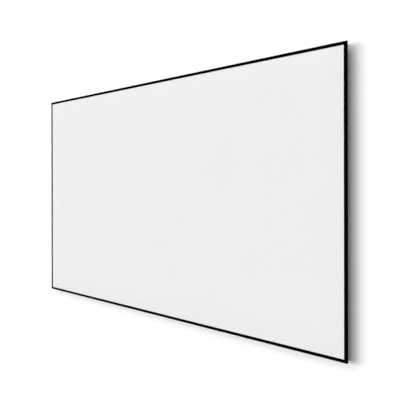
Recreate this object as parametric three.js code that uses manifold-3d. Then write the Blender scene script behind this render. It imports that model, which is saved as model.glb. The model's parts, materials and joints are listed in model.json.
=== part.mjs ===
// A fixed frame projector screen with a thin black bezel, as it hangs on its wall brackets.
//
// The front faces -Y and the wall is the plane y = 0. The origin is on the back of the top
// centre wall bracket, midway between its two screw slots. All sizes are in millimetres.
//
// A section is drawn with u, the distance inward from the bezel's outer edge, and v, the
// distance back from its front face. Each side is modelled as the top one, lying along x
// with y = v and z = -u, and the other three are the same bars turned about Y.

import * as THREE from 'three';
import { mergeVertices } from 'three/addons/utils/BufferGeometryUtils.js';
import Module from 'manifold-3d';

const wasm = await Module();
wasm.setup();

// Picture area, a 100 inch diagonal at 16:9
const VIEW_WIDTH = 2214;
const VIEW_HEIGHT = 1245;

// Distance from the wall to the bezel's front face
const STAND_OFF = 45;

// Clearances: between rigid pieces, around the fabric, and at the joints between bars
const CLEARANCE = 0.3;
const FABRIC_GAP = 0.3;
const JOINT_GAP = 0.3;

// Bezel trim, a shallow channel that clips over the fabric and the nose of the frame
const BEZEL_FACE = 14;
const BEZEL_DEPTH = 7.5;
const BEZEL_LIP = 1.2;
const BEZEL_WALL = 1.4;
const BEZEL_RETURN = 1.2;

// Screen fabric
const FABRIC = 0.5;
const FLAP_CUTBACK = 115;

// Hollow frame section: a nose that carries the fabric, a sloped outer side and a box
const SECTION_WIDTH = 47.5;
const SECTION_DEPTH = 23.2;
const SECTION_WALL = 1.5;
const NOSE_WIDTH = 7;
const NOSE_DEPTH = 2.6;
const NOSE_STEP = 4;
const SLOPE_RUN = 18;

// Rail behind the frame's inner edge: the springs and the wall brackets hook on its lip
const RAIL_HEIGHT = 4;
const RAIL_LIP = 4;
const RAIL_THICKNESS = 1.5;

// Corner and splice plates inside the frame, and their screws
const PLATE_WIDTH = 22;
const PLATE_THICKNESS = 4;
const PLATE_EDGE = 2;
const CORNER_LEG = 112;
const CORNER_SCREWS = [62, 98];
const SPLICE_LENGTH = 140;
const SPLICE_SCREWS = [25, 55];
const SCREW_ROW = 12;
const SCREW_DIAMETER = 4;
const SCREW_LENGTH = 5;
const SCREW_HEAD = 7;
const SCREW_HEAD_HEIGHT = 2.2;
const SCREW_SOCKET = 2.5;
const SCREW_SOCKET_DEPTH = 1.2;
const SCREW_SIDES = 12;

// Tension rod in the fabric's hem, and the springs that pull it to the rail
const ROD_DIAMETER = 4;
const ROD_FROM_SLOPE = 8.5;
const ROD_PROUD = 6;
const SPRING_DIAMETER = 4.8;
const SPRING_WIRE = 1.2;
const SPRING_NECK = 2.4;
const SPRING_HOOK = 2.4;
const SPRING_PITCH = 152;
const SIDE_SPRING_PITCH = 140;
const HEM_NOTCH = 7;

// Centre support bar and the clips that hold its ends
const BAR_WIDTH = 30;
const BAR_DEPTH = 15;
const BAR_WALL = 1.5;
const BAR_SETBACK = 2;
const CLIP_WIDTH = 60;
const CLIP_FOOT = 2;
const CLIP_PLUG = 25;
const CLIP_SCREWS = 22.5;
const CLIP_SCREW_LENGTH = 7;

// Wall brackets, placed a whole number of spring pitches from the middle of their side
const BRACKET_WIDTH = 60;
const BRACKET_THICKNESS = 2.5;
const BRACKET_ABOVE = 10;
const BRACKET_BELOW = 47;
const BRACKET_TOOTH = 2.2;
const UPPER_BRACKETS = { left: -5, centre: 0, right: 5 };
const LOWER_BRACKETS = { left: 3, right: -3 };
const SLOT_WIDTH = 6;
const SLOT_LENGTH = 16;
const SLOT_MARGIN = 11;

// How far a cutter reaches past what it cuts
const PAD = 1;

// Sizes that follow
const FRAME_WIDTH = VIEW_WIDTH + 2 * BEZEL_FACE;
const FRAME_HEIGHT = VIEW_HEIGHT + 2 * BEZEL_FACE;
const FABRIC_U = BEZEL_WALL + FABRIC_GAP;
const FABRIC_V = BEZEL_LIP + FABRIC_GAP;
const NOSE_U = FABRIC_U + FABRIC + FABRIC_GAP;
const NOSE_V = FABRIC_V + FABRIC + FABRIC_GAP;
const NOSE_END_V = NOSE_V + NOSE_DEPTH;
const STEP_V = NOSE_V + NOSE_STEP;
const REAR_V = NOSE_V + SECTION_DEPTH;
const INNER_U = NOSE_U + SECTION_WIDTH;
const SLOPE_END_U = NOSE_U + SLOPE_RUN;
const SLOPE = SLOPE_RUN / (REAR_V - NOSE_END_V);
const SLOPE_STRETCH = Math.hypot(1, SLOPE);
const RAIL_V = REAR_V + RAIL_HEIGHT;
const RAIL_FRONT_V = RAIL_V - RAIL_THICKNESS;
const RAIL_U = INNER_U - RAIL_THICKNESS;
const RAIL_END_U = INNER_U + RAIL_LIP;
const CAVITY_FRONT_V = STEP_V + SECTION_WALL;
const CAVITY_REAR_V = REAR_V - SECTION_WALL;
const CAVITY_END_U = INNER_U - SECTION_WALL;
const PLATE_END_U = CAVITY_END_U - PLATE_EDGE;
const PLATE_START_U = PLATE_END_U - PLATE_WIDTH;
const PLATE_REAR_V = CAVITY_REAR_V - CLEARANCE;
const PLATE_FRONT_V = PLATE_REAR_V - PLATE_THICKNESS;
const SCREW_U = INNER_U - SCREW_ROW;
const HOLE_DIAMETER = SCREW_DIAMETER + 2 * CLEARANCE;
const ROD_U = SLOPE_END_U + ROD_FROM_SLOPE;
const HEM_BORE = ROD_DIAMETER + 2 * FABRIC_GAP;
const HEM_DIAMETER = HEM_BORE + 2 * FABRIC;
const ROD_V = REAR_V + FABRIC_GAP + HEM_DIAMETER / 2;
const SHELF_U = RAIL_END_U + CLEARANCE;
const SHELF_END_U = SHELF_U + BRACKET_THICKNESS;
const SLOT_NEAR_U = SHELF_END_U + SLOT_MARGIN;
const SLOT_FAR_U = SHELF_END_U + BRACKET_BELOW - SLOT_MARGIN;
const MOUNT_U = (SLOT_NEAR_U + SLOT_FAR_U) / 2;
const BAR_FRONT_V = STEP_V + BAR_SETBACK;
const BAR_MIDDLE_V = BAR_FRONT_V + BAR_DEPTH / 2;
const FOOT_U = INNER_U + CLEARANCE;
const FOOT_END_U = FOOT_U + CLIP_FOOT;

// Materials, one for each kind of piece
const FINISHES = {
  bezel: { color: 0x050506, roughness: 0.55, metalness: 0 },
  fabric: { color: 0xf0eeef, roughness: 0.9, metalness: 0 },
  frame: { color: 0x16171a, roughness: 0.45, metalness: 0.6 },
  zinc: { color: 0xa9acb0, roughness: 0.35, metalness: 1 },
  steel: { color: 0x101112, roughness: 0.5, metalness: 0.4 },
  rod: { color: 0xe6e2d4, roughness: 0.5, metalness: 0 },
  plastic: { color: 0x141414, roughness: 0.6, metalness: 0 },
};

// The four sides, each turned about Y from the top one
const SIDES = {
  top: { turn: 0, length: FRAME_WIDTH, reach: FRAME_HEIGHT / 2, pitch: SPRING_PITCH },
  right: { turn: Math.PI / 2, length: FRAME_HEIGHT, reach: FRAME_WIDTH / 2, pitch: SIDE_SPRING_PITCH },
  bottom: { turn: Math.PI, length: FRAME_WIDTH, reach: FRAME_HEIGHT / 2, pitch: SPRING_PITCH },
  left: { turn: -Math.PI / 2, length: FRAME_HEIGHT, reach: FRAME_WIDTH / 2, pitch: SIDE_SPRING_PITCH },
};

// The corner where each side starts, seen from the front
const CORNERS = { top: 'top_left', right: 'top_right', bottom: 'bottom_right', left: 'bottom_left' };

// The frame's corners across and up, clockwise from the top left
const FRAME_CORNERS = [[-1, 1], [1, 1], [1, -1], [-1, -1]];

// Where a side's middle lies on the frame
function sidePlace({ turn, reach }) {
  return new THREE.Vector3(reach * Math.sin(turn), 0, reach * Math.cos(turn));
}

function sideMatrix(side) {
  return new THREE.Matrix4().makeRotationY(side.turn).setPosition(sidePlace(side));
}

function toSolid(geometry) {
  geometry.deleteAttribute('normal');
  geometry.deleteAttribute('uv');
  const merged = mergeVertices(geometry);
  const vertProperties = Float32Array.from(merged.attributes.position.array);
  const triVerts = Uint32Array.from(merged.index.array);
  return new wasm.Manifold(new wasm.Mesh({ numProp: 3, vertProperties, triVerts }));
}

function toGeometry(solid) {
  const { vertProperties, triVerts } = solid.getMesh();
  const geometry = new THREE.BufferGeometry();
  geometry.setAttribute('position', new THREE.BufferAttribute(vertProperties, 3));
  geometry.setIndex(new THREE.BufferAttribute(triVerts, 1));
  const faceted = geometry.toNonIndexed();
  faceted.computeVertexNormals();
  return faceted;
}

function subtractAll(solid, cutters) {
  return cutters.reduce((rest, cutter) => rest.subtract(cutter), solid);
}

function extrude(points, depth) {
  const shape = new THREE.Shape(points.map(([x, y]) => new THREE.Vector2(x, y)));
  return new THREE.ExtrudeGeometry(shape, { depth, bevelEnabled: false });
}

// A bar that lies along a side, from a section in u and v
function bar(section, from, to) {
  const along = new THREE.Matrix4().makeBasis(
    new THREE.Vector3(0, 0, -1),
    new THREE.Vector3(0, 1, 0),
    new THREE.Vector3(1, 0, 0),
  );
  return toSolid(extrude(section, to - from).applyMatrix4(along).translate(from, 0, 0));
}

// A plate parallel to the wall, from an outline in x and u
function plate(outline, front, rear) {
  const upright = outline.map(([x, u]) => [x, -u]);
  return toSolid(extrude(upright, rear - front).rotateX(Math.PI / 2).translate(0, rear, 0));
}

function rectangle(x, u, width, height) {
  const [left, right] = [x - width / 2, x + width / 2];
  const [near, far] = [u - height / 2, u + height / 2];
  return [[left, near], [right, near], [right, far], [left, far]];
}

// A round pin with its axis along v, or along u
function pin(diameter, x, u, front, rear) {
  const geometry = new THREE.CylinderGeometry(diameter / 2, diameter / 2, rear - front, SCREW_SIDES);
  return toSolid(geometry.translate(x, (front + rear) / 2, -u));
}

function pinInward(diameter, x, v, near, far) {
  const geometry = new THREE.CylinderGeometry(diameter / 2, diameter / 2, far - near, SCREW_SIDES);
  return toSolid(geometry.rotateX(Math.PI / 2).translate(x, v, -(near + far) / 2));
}

// An octagon in u and v, given across its flats
function octagon(across, u, v) {
  const radius = across / 2 / Math.cos(Math.PI / 8);
  return [0, 1, 2, 3, 4, 5, 6, 7].map((corner) => {
    const angle = ((corner + 0.5) * Math.PI) / 4;
    return [u + radius * Math.cos(angle), v + radius * Math.sin(angle)];
  });
}

// A closed band round the whole frame, mitred at its corners, from a section in u and v
function band(section) {
  const points = section.map(([u, v]) => new THREE.Vector2(u, v));
  if (THREE.ShapeUtils.isClockWise(points)) points.reverse();
  const positions = points.flatMap(({ x: u, y: v }) =>
    FRAME_CORNERS.flatMap(([across, up]) => [
      across * (FRAME_WIDTH / 2 - u),
      v,
      up * (FRAME_HEIGHT / 2 - u),
    ]));
  const index = points.flatMap((_, i) => {
    const next = (i + 1) % points.length;
    return FRAME_CORNERS.flatMap((__, k) => {
      const turned = (k + 1) % FRAME_CORNERS.length;
      const [a, b] = [i * FRAME_CORNERS.length + k, i * FRAME_CORNERS.length + turned];
      const [c, d] = [next * FRAME_CORNERS.length + turned, next * FRAME_CORNERS.length + k];
      return [a, c, b, a, d, c];
    });
  });
  const geometry = new THREE.BufferGeometry();
  geometry.setAttribute('position', new THREE.Float32BufferAttribute(positions, 3));
  geometry.setIndex(index);
  return toSolid(geometry);
}

// The sloped side of the frame's section, or a line at a distance into the metal from it
function slopeU(v, inward) {
  return NOSE_U + (v - NOSE_END_V) * SLOPE + inward * SLOPE_STRETCH;
}

function slopeV(u, inward) {
  return NOSE_END_V + (u - NOSE_U - inward * SLOPE_STRETCH) / SLOPE;
}

// The part of a side between two places, square or mitred to its corner, for cutting bars
function stretch(from, to, mitredFrom, mitredTo) {
  const outer = -PAD;
  const inner = RAIL_END_U + PAD;
  const slantFrom = mitredFrom ? 1 : 0;
  const slantTo = mitredTo ? 1 : 0;
  const outline = [
    [from + slantFrom * outer, outer],
    [to - slantTo * outer, outer],
    [to - slantTo * inner, inner],
    [from + slantFrom * inner, inner],
  ];
  return plate(outline, -PAD, STAND_OFF);
}

// The stretches that a side's bars are cut into: one for an upright, two for the others
function stretches(name) {
  const end = SIDES[name].length / 2 - JOINT_GAP * Math.SQRT1_2;
  const middle = JOINT_GAP / 2;
  if (name === 'left' || name === 'right') {
    return { [name]: stretch(-end, end, true, true) };
  }
  const [first, second] = name === 'top' ? ['left', 'right'] : ['right', 'left'];
  return {
    [`${name}_${first}`]: stretch(-end, -middle, true, false),
    [`${name}_${second}`]: stretch(middle, end, false, true),
  };
}

// Places along a side

function cornerScrewPlaces(side) {
  const fromStart = CORNER_SCREWS.map((place) => place - side.length / 2);
  return [...fromStart, ...fromStart.map((x) => -x)];
}

function splicePlaces() {
  return SPLICE_SCREWS.flatMap((x) => [-x, x]);
}

function springPlaces({ length, pitch }) {
  const room = length / 2 - FLAP_CUTBACK - HEM_NOTCH;
  const count = Math.floor(room / pitch + 0.5);
  return Array.from({ length: count }, (_, i) => (i + 0.5) * pitch).flatMap((x) => [-x, x]);
}

// Bezel trim

function bezelSection() {
  const returnV = BEZEL_DEPTH - BEZEL_RETURN;
  const clear = -2 * FABRIC_GAP - FABRIC;
  return [
    [0, 0],
    [BEZEL_FACE, 0],
    [BEZEL_FACE, BEZEL_LIP],
    [BEZEL_WALL, BEZEL_LIP],
    [BEZEL_WALL, returnV],
    [slopeU(returnV, clear), returnV],
    [slopeU(BEZEL_DEPTH, clear), BEZEL_DEPTH],
    [0, BEZEL_DEPTH],
  ];
}

function bezelBar(side, cut) {
  return bar(bezelSection(), -side.length / 2, side.length / 2).intersect(cut);
}

// Frame section

function frameOutline() {
  return [
    [NOSE_U, NOSE_V],
    [NOSE_U + NOSE_WIDTH, NOSE_V],
    [NOSE_U + NOSE_WIDTH, STEP_V],
    [INNER_U, STEP_V],
    [INNER_U, RAIL_FRONT_V],
    [RAIL_END_U, RAIL_FRONT_V],
    [RAIL_END_U, RAIL_V],
    [RAIL_U, RAIL_V],
    [RAIL_U, REAR_V],
    [SLOPE_END_U, REAR_V],
    [NOSE_U, NOSE_END_V],
  ];
}

function frameCavity() {
  return [
    [slopeU(CAVITY_FRONT_V, SECTION_WALL), CAVITY_FRONT_V],
    [CAVITY_END_U, CAVITY_FRONT_V],
    [CAVITY_END_U, CAVITY_REAR_V],
    [slopeU(CAVITY_REAR_V, SECTION_WALL), CAVITY_REAR_V],
  ];
}

function rearHoles(places) {
  return places.map((x) => pin(HOLE_DIAMETER, x, SCREW_U, CAVITY_REAR_V - PAD, REAR_V + PAD));
}

function clipHoles() {
  return [-CLIP_SCREWS, CLIP_SCREWS].map((x) =>
    pinInward(HOLE_DIAMETER, x, BAR_MIDDLE_V, CAVITY_END_U - PAD, INNER_U + PAD));
}

function frameBar(name, side, cut) {
  const half = side.length / 2;
  const tube = bar(frameOutline(), -half, half).subtract(bar(frameCavity(), -half - PAD, half + PAD));
  const holes = rearHoles(cornerScrewPlaces(side));
  if (name === 'top' || name === 'bottom') holes.push(...rearHoles(splicePlaces()), ...clipHoles());
  return subtractAll(tube.intersect(cut), holes);
}

// Plates inside the frame, and screws

function plateHole(x, u) {
  return pin(HOLE_DIAMETER, x, u, PLATE_FRONT_V - PAD, PLATE_REAR_V + PAD);
}

function cornerBracket(side) {
  const start = -side.length / 2;
  const outline = [
    [PLATE_START_U, PLATE_START_U],
    [CORNER_LEG, PLATE_START_U],
    [CORNER_LEG, PLATE_END_U],
    [PLATE_END_U, PLATE_END_U],
    [PLATE_END_U, CORNER_LEG],
    [PLATE_START_U, CORNER_LEG],
  ];
  const solid = plate(outline.map(([a, u]) => [start + a, u]), PLATE_FRONT_V, PLATE_REAR_V);
  const holes = CORNER_SCREWS.flatMap((place) => [
    plateHole(start + place, SCREW_U),
    plateHole(start + SCREW_U, place),
  ]);
  return subtractAll(solid, holes);
}

function spliceBar() {
  const middle = (PLATE_START_U + PLATE_END_U) / 2;
  const solid = plate(rectangle(0, middle, SPLICE_LENGTH, PLATE_WIDTH), PLATE_FRONT_V, PLATE_REAR_V);
  return subtractAll(solid, splicePlaces().map((x) => plateHole(x, SCREW_U)));
}

// A socket head screw: its head stands on the plane y = 0 and its shank points to -Y
function screw(length) {
  const head = pin(SCREW_HEAD, 0, 0, 0, SCREW_HEAD_HEIGHT);
  const shank = pin(SCREW_DIAMETER, 0, 0, -length, PAD);
  const radius = SCREW_SOCKET / 2 / Math.cos(Math.PI / 6);
  const socket = new THREE.CylinderGeometry(radius, radius, 2 * SCREW_SOCKET_DEPTH, 6);
  return head.add(shank).subtract(toSolid(socket.translate(0, SCREW_HEAD_HEIGHT, 0)));
}

// Fabric: a sheet under the bezel, wrapped over the nose and the slope to the rear, with a
// hem round the tension rod on each side

function flapSection() {
  const outward = -FABRIC_GAP - FABRIC;
  const outerU = FABRIC_U;
  const innerU = FABRIC_U + FABRIC;
  const outerV = REAR_V + FABRIC_GAP + FABRIC;
  const innerV = REAR_V + FABRIC_GAP;
  return [
    [NOSE_U + NOSE_WIDTH, FABRIC_V],
    [outerU, FABRIC_V],
    [outerU, slopeV(outerU, outward)],
    [slopeU(outerV, outward), outerV],
    [ROD_U, outerV],
    [ROD_U, innerV],
    [slopeU(innerV, -FABRIC_GAP), innerV],
    [innerU, slopeV(innerU, -FABRIC_GAP)],
    [innerU, FABRIC_V + FABRIC],
    [NOSE_U + NOSE_WIDTH, FABRIC_V + FABRIC],
  ];
}

// A block that ends two flaps short of the corner, where they would lie on each other
function cornerCut([across, up]) {
  const geometry = new THREE.BoxGeometry(FLAP_CUTBACK, STAND_OFF, FLAP_CUTBACK);
  geometry.translate(
    across * (FRAME_WIDTH - FLAP_CUTBACK) / 2,
    REAR_V + STAND_OFF / 2,
    up * (FRAME_HEIGHT - FLAP_CUTBACK) / 2,
  );
  return toSolid(geometry);
}

// A block that bares the rod where a spring hooks on
function hemNotch(side, x) {
  const geometry = new THREE.BoxGeometry(HEM_NOTCH, STAND_OFF, 2 * HEM_DIAMETER);
  geometry.translate(x, REAR_V + STAND_OFF / 2, -ROD_U);
  return toSolid(geometry.applyMatrix4(sideMatrix(side)));
}

function hems() {
  const notches = Object.values(SIDES).flatMap((side) =>
    springPlaces(side).map((x) => hemNotch(side, x)));
  const sleeve = band(octagon(HEM_DIAMETER, ROD_U, ROD_V))
    .subtract(band(octagon(HEM_BORE, ROD_U, ROD_V)));
  return subtractAll(sleeve, notches);
}

function fabric() {
  const edge = NOSE_U + NOSE_WIDTH / 2;
  const sheet = new THREE.BoxGeometry(FRAME_WIDTH - 2 * edge, FABRIC, FRAME_HEIGHT - 2 * edge);
  const wrapped = band(flapSection())
    .add(toSolid(sheet.translate(0, FABRIC_V + FABRIC / 2, 0)))
    .add(hems());
  return subtractAll(wrapped, FRAME_CORNERS.map(cornerCut));
}

// Tension rod with its springs: each spring pulls the rod towards the rail's lip

function hookOutline(coilEnd) {
  const rise = RAIL_U - CLEARANCE;
  const tip = RAIL_END_U + CLEARANCE;
  const low = ROD_V - SPRING_WIRE / 2;
  const pass = Math.max(RAIL_V + CLEARANCE, low);
  return [
    [coilEnd - PAD, low],
    [rise, low],
    [rise, pass],
    [tip, pass],
    [tip, RAIL_V - SPRING_HOOK],
    [tip + SPRING_WIRE, RAIL_V - SPRING_HOOK],
    [tip + SPRING_WIRE, pass + SPRING_WIRE],
    [rise - SPRING_WIRE, pass + SPRING_WIRE],
    [rise - SPRING_WIRE, low + SPRING_WIRE],
    [coilEnd - PAD, low + SPRING_WIRE],
  ];
}

function spring(x) {
  const coilStart = ROD_U + HEM_DIAMETER / 2 + SPRING_NECK;
  const coilEnd = RAIL_U - CLEARANCE - SPRING_WIRE;
  const length = coilEnd - coilStart;
  const coil = new THREE.CylinderGeometry(SPRING_DIAMETER / 2, SPRING_DIAMETER / 2, length, 8);
  coil.rotateX(Math.PI / 2).translate(x, ROD_V, -(coilStart + coilEnd) / 2);
  const neckLength = coilStart + PAD - ROD_U;
  const neck = new THREE.BoxGeometry(SPRING_WIRE, SPRING_WIRE, neckLength);
  neck.translate(x, ROD_V, -ROD_U - neckLength / 2);
  const hook = bar(hookOutline(coilEnd), x - SPRING_WIRE / 2, x + SPRING_WIRE / 2);
  return toSolid(coil).add(toSolid(neck)).add(hook);
}

function tensionRod(side) {
  const end = side.length / 2 - FLAP_CUTBACK + ROD_PROUD;
  const rod = bar(octagon(ROD_DIAMETER, ROD_U, ROD_V), -end, end);
  return springPlaces(side).reduce((whole, x) => whole.add(spring(x)), rod);
}

// Centre support bar and its end clips

function supportBar() {
  const half = FRAME_HEIGHT / 2 - FOOT_END_U - CLEARANCE;
  const outer = new THREE.BoxGeometry(BAR_WIDTH, BAR_DEPTH, 2 * half);
  const inner = new THREE.BoxGeometry(
    BAR_WIDTH - 2 * BAR_WALL,
    BAR_DEPTH - 2 * BAR_WALL,
    2 * (half + PAD),
  );
  return toSolid(outer.translate(0, BAR_MIDDLE_V, 0))
    .subtract(toSolid(inner.translate(0, BAR_MIDDLE_V, 0)));
}

function supportClip() {
  const [front, rear] = [BAR_FRONT_V, BAR_FRONT_V + BAR_DEPTH];
  const inset = BAR_WALL + CLEARANCE;
  const foot = plate(rectangle(0, (FOOT_U + FOOT_END_U) / 2, CLIP_WIDTH, CLIP_FOOT), front, rear);
  const plugU = FOOT_END_U - CLIP_FOOT / 2;
  const plugOutline = rectangle(0, plugU + CLIP_PLUG / 2, BAR_WIDTH - 2 * inset, CLIP_PLUG);
  const plug = plate(plugOutline, front + inset, rear - inset);
  const holes = [-CLIP_SCREWS, CLIP_SCREWS].map((x) =>
    pinInward(HOLE_DIAMETER, x, BAR_MIDDLE_V, FOOT_U - PAD, FOOT_END_U + PAD));
  return subtractAll(foot.add(plug), holes);
}

// Wall bracket: a plate on the wall, and a shelf with a tooth that holds the rail's lip

function slotCut(u) {
  const straight = (SLOT_LENGTH - SLOT_WIDTH) / 2;
  const [front, rear] = [STAND_OFF - BRACKET_THICKNESS - PAD, STAND_OFF + PAD];
  const middle = plate(rectangle(0, u, 2 * straight, SLOT_WIDTH), front, rear);
  return middle
    .add(pin(SLOT_WIDTH, -straight, u, front, rear))
    .add(pin(SLOT_WIDTH, straight, u, front, rear));
}

function wallBracket(toothU) {
  const plateV = STAND_OFF - BRACKET_THICKNESS;
  const toothV = RAIL_FRONT_V - CLEARANCE;
  const section = [
    [SHELF_U - BRACKET_ABOVE, STAND_OFF],
    [SHELF_END_U + BRACKET_BELOW, STAND_OFF],
    [SHELF_END_U + BRACKET_BELOW, plateV],
    [SHELF_END_U, plateV],
    [SHELF_END_U, toothV - BRACKET_THICKNESS],
    [toothU, toothV - BRACKET_THICKNESS],
    [toothU, toothV],
    [SHELF_U, toothV],
    [SHELF_U, plateV],
    [SHELF_U - BRACKET_ABOVE, plateV],
  ];
  const solid = bar(section, -BRACKET_WIDTH / 2, BRACKET_WIDTH / 2);
  return subtractAll(solid, [slotCut(SLOT_NEAR_U), slotCut(SLOT_FAR_U)]);
}

// Assembly

const frame = new THREE.Group();
frame.position.set(0, -STAND_OFF, MOUNT_U - FRAME_HEIGHT / 2);

function add(group, name, solid, finish, x = 0) {
  const mesh = new THREE.Mesh(toGeometry(solid), new THREE.MeshStandardMaterial(FINISHES[finish]));
  mesh.name = name;
  mesh.position.x = x;
  group.add(mesh);
  return mesh;
}

function addScrew(group, name, x, v, u, length) {
  const mesh = add(group, name, screw(length), 'steel', x);
  mesh.position.y = v;
  mesh.position.z = -u;
  return mesh;
}

for (const [name, side] of Object.entries(SIDES)) {
  const group = new THREE.Group();
  group.position.copy(sidePlace(side));
  group.rotation.y = side.turn;
  frame.add(group);
  for (const [part, cut] of Object.entries(stretches(name))) {
    add(group, `bezel_${part}`, bezelBar(side, cut), 'bezel');
    add(group, `subframe_${part}`, frameBar(name, side, cut), 'frame');
  }
  add(group, `tension_rod_${name}`, tensionRod(side), 'rod');
  add(group, `corner_bracket_${CORNERS[name]}`, cornerBracket(side), 'zinc');
  cornerScrewPlaces(side).forEach((x, i) => {
    addScrew(group, `corner_screw_${name}_${i + 1}`, x, REAR_V, SCREW_U, SCREW_LENGTH);
  });
  if (name === 'left' || name === 'right') continue;
  add(group, `splice_bar_${name}`, spliceBar(), 'zinc');
  splicePlaces().forEach((x, i) => {
    addScrew(group, `splice_screw_${name}_${i + 1}`, x, REAR_V, SCREW_U, SCREW_LENGTH);
  });
  add(group, `support_clip_${name}`, supportClip(), 'plastic');
  [-CLIP_SCREWS, CLIP_SCREWS].forEach((x, i) => {
    const clipScrew = addScrew(
      group,
      `clip_screw_${name}_${i + 1}`,
      x,
      BAR_MIDDLE_V,
      FOOT_END_U,
      CLIP_SCREW_LENGTH,
    );
    clipScrew.rotation.x = -Math.PI / 2;
  });
  const upper = name === 'top';
  const toothU = INNER_U + (upper ? CLEARANCE : BRACKET_TOOTH);
  for (const [place, pitches] of Object.entries(upper ? UPPER_BRACKETS : LOWER_BRACKETS)) {
    const bracketName = `${upper ? 'upper' : 'lower'}_wall_bracket_${place}`;
    add(group, bracketName, wallBracket(toothU), 'steel', pitches * SPRING_PITCH);
  }
}
add(frame, 'screen_fabric', fabric(), 'fabric');
add(frame, 'centre_support_bar', supportBar(), 'frame');

const screen = new THREE.Group();
screen.add(frame);

export default screen;
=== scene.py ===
"""A fixed frame projector screen with a thin black bezel, dressed for Blender around its CAD frame.

Lengths are in metres. The front faces -Y, the wall is the plane y = 0 and +Z is up. A section
is given by u, the distance inward from the bezel's outer edge, and v, the distance back from
its front face, as in the CAD model. Each side is made as the top one, lying along x, and then
turned into its place.
"""

import json
import math

import bmesh
import bpy
from mathutils import Matrix, Vector

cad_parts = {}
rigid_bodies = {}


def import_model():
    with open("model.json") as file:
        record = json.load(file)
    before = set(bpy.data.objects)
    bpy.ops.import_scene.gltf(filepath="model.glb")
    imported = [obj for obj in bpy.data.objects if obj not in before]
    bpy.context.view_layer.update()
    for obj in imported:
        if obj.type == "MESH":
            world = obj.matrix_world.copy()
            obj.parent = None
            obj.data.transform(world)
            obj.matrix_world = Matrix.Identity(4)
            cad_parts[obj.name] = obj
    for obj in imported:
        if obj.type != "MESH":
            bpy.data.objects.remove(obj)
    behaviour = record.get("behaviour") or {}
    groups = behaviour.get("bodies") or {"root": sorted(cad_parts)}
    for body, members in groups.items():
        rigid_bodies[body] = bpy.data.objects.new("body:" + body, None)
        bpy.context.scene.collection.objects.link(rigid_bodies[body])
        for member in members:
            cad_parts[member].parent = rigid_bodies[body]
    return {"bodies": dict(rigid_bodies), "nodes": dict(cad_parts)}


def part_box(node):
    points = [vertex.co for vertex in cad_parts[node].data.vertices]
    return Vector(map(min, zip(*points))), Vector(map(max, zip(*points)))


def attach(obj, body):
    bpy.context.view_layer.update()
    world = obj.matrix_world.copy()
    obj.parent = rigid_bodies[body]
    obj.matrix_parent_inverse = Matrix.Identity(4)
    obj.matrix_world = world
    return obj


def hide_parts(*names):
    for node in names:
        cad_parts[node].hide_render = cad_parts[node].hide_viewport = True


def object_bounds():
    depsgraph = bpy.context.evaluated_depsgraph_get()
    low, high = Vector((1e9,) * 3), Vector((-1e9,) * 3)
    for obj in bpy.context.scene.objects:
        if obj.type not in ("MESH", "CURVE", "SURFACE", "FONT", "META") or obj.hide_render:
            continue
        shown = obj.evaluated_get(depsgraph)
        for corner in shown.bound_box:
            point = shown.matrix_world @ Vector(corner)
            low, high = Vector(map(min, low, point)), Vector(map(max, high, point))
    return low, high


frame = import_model()
CAD_LOW, CAD_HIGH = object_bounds()

MM = 0.001
BODY = next(iter(frame["bodies"]))

# Sizes read from the frame

BEZEL_LOW, BEZEL_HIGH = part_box("bezel_left")
BAR_LOW, BAR_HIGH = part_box("subframe_left")
FABRIC_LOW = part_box("screen_fabric")[0]

WIDTH = CAD_HIGH.x - CAD_LOW.x
HEIGHT = CAD_HIGH.z - CAD_LOW.z
MIDDLE_Z = (CAD_HIGH.z + CAD_LOW.z) / 2
FRONT_Y = BEZEL_LOW.y

# Sections, as the CAD model has them

BEZEL_FACE = BEZEL_HIGH.x - BEZEL_LOW.x
BEZEL_DEPTH = BEZEL_HIGH.y - BEZEL_LOW.y
BEZEL_LIP = 1.2 * MM
BEZEL_WALL = 1.4 * MM
BEZEL_RETURN = 1.2 * MM
FABRIC = 0.5 * MM
FABRIC_GAP = 0.3 * MM
CLEARANCE = 0.3 * MM
FABRIC_U = FABRIC_LOW.x - CAD_LOW.x
FABRIC_V = FABRIC_LOW.y - FRONT_Y
NOSE_U = BAR_LOW.x - CAD_LOW.x
NOSE_V = BAR_LOW.y - FRONT_Y
NOSE_DEPTH = 2.6 * MM
NOSE_END_V = NOSE_V + NOSE_DEPTH
SECTION_DEPTH = 23.2 * MM
REAR_V = NOSE_V + SECTION_DEPTH
SLOPE_RUN = 18 * MM
SLOPE_END_U = NOSE_U + SLOPE_RUN
SLOPE = SLOPE_RUN / (REAR_V - NOSE_END_V)
RAIL_LIP = 4 * MM
RAIL_THICKNESS = 1.5 * MM
RAIL_V = BAR_HIGH.y - FRONT_Y
RAIL_END_U = BAR_HIGH.x - CAD_LOW.x
RAIL_U = RAIL_END_U - RAIL_LIP - RAIL_THICKNESS
ROD_RADIUS = 2 * MM
ROD_FROM_SLOPE = 8.5 * MM
ROD_U = SLOPE_END_U + ROD_FROM_SLOPE
ROD_PROUD = 6 * MM
HEM_INNER = ROD_RADIUS + FABRIC_GAP
ROD_V = REAR_V + FABRIC_GAP + FABRIC + HEM_INNER
FLAP_CUTBACK = 115 * MM

# Fabric folds: the bends over the nose and the two ends of the slope, and the hem's weld

NOSE_BEND = 1.0 * MM
SLOPE_BEND = 3.0 * MM
REAR_BEND = 2.0 * MM
WELD_START = 3.4 * MM
WELD_END = 7.8 * MM
WELD_BEND = 1.5 * MM
WELD_GAP = 0.05 * MM
BEND_STEPS = 5
HEM_STEP = math.radians(14)

# About how far apart the fabric's rows of vertices are
CELL = 60 * MM

# Bezel edges, and the fine seam where two of its bars meet

BEZEL_OUTER_EDGE = 0.6 * MM
BEZEL_EDGE = 0.3 * MM
BEZEL_INNER_EDGE = 0.15 * MM
BEZEL_SEAM = 0.08 * MM

# Springs

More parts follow.
